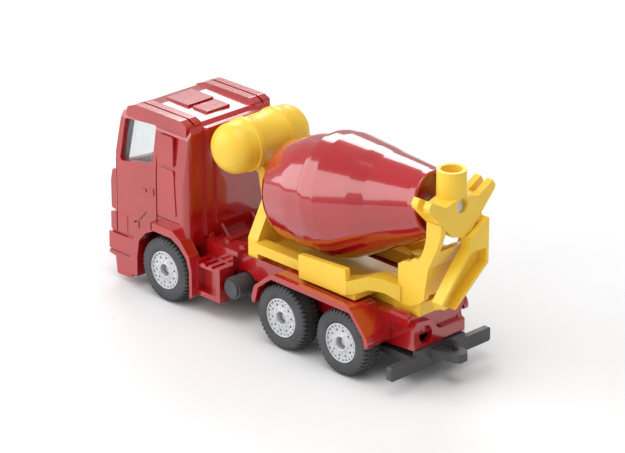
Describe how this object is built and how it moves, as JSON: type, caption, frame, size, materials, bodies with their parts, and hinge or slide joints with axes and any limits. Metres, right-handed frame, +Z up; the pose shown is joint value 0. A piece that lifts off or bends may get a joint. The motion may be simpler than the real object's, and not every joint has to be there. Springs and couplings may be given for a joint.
{
  "type": "toy cement mixer truck",
  "caption": "Die-cast toy concrete mixer truck with a tilted turning drum, filling hopper, discharge chute, water tank and free-rolling wheels.",
  "frame": {"origin": "on the ground plane under the middle of the bounding box", "axes": "+X forward out of the cab's front, +Y the truck's left, +Z up"},
  "size_m": [0.0908, 0.0292, 0.0451],
  "materials": {
    "red_paint": "gloss enamel",
    "red_plastic": "gloss",
    "yellow_plastic": "satin",
    "dark_plastic": "satin",
    "grey_plastic": "satin",
    "tyre": "matt",
    "rim": "silver",
    "steel": "drawn wire",
    "clear": "clear plastic"
  },
  "bodies": {
    "chassis": {"body_casting": "red_paint", "window_insert": "clear", "cab_interior": "grey_plastic", "base_plate": "dark_plastic", "air_tank": "dark_plastic", "base_rivets": "steel", "mixer_frame": "yellow_plastic", "water_tank": "yellow_plastic", "hopper": "yellow_plastic", "discharge_chute": "yellow_plastic"},
    "front_wheels": {"front_axle": "steel", "rim_front_left": "rim", "rim_front_right": "rim", "tyre_front_left": "tyre", "tyre_front_right": "tyre"},
    "mid_wheels": {"mid_axle": "steel", "rim_mid_left": "rim", "rim_mid_right": "rim", "tyre_mid_left": "tyre", "tyre_mid_right": "tyre"},
    "rear_wheels": {"rear_axle": "steel", "rim_rear_left": "rim", "rim_rear_right": "rim", "tyre_rear_left": "tyre", "tyre_rear_right": "tyre"},
    "drum": {"drum_front_shell": "red_plastic", "drum_rear_shell": "red_plastic", "drum_spindle": "steel"}
  },
  "joints": [
    {"name": "front_roll", "type": "hinge", "parent": "chassis", "child": "front_wheels", "pos_m": [0.0267, 0, 0.007], "axis": [0, 1, 0], "continuous": true},
    {"name": "mid_roll", "type": "hinge", "parent": "chassis", "child": "mid_wheels", "pos_m": [-0.0078, 0, 0.007], "axis": [0, 1, 0], "continuous": true},
    {"name": "rear_roll", "type": "hinge", "parent": "chassis", "child": "rear_wheels", "pos_m": [-0.0248, 0, 0.007], "axis": [0, 1, 0], "continuous": true},
    {"name": "drum_spin", "type": "hinge", "parent": "chassis", "child": "drum", "pos_m": [-0.0116, 0, 0.03125], "axis": [-0.9781, 0, 0.2079], "continuous": true}
  ]
}
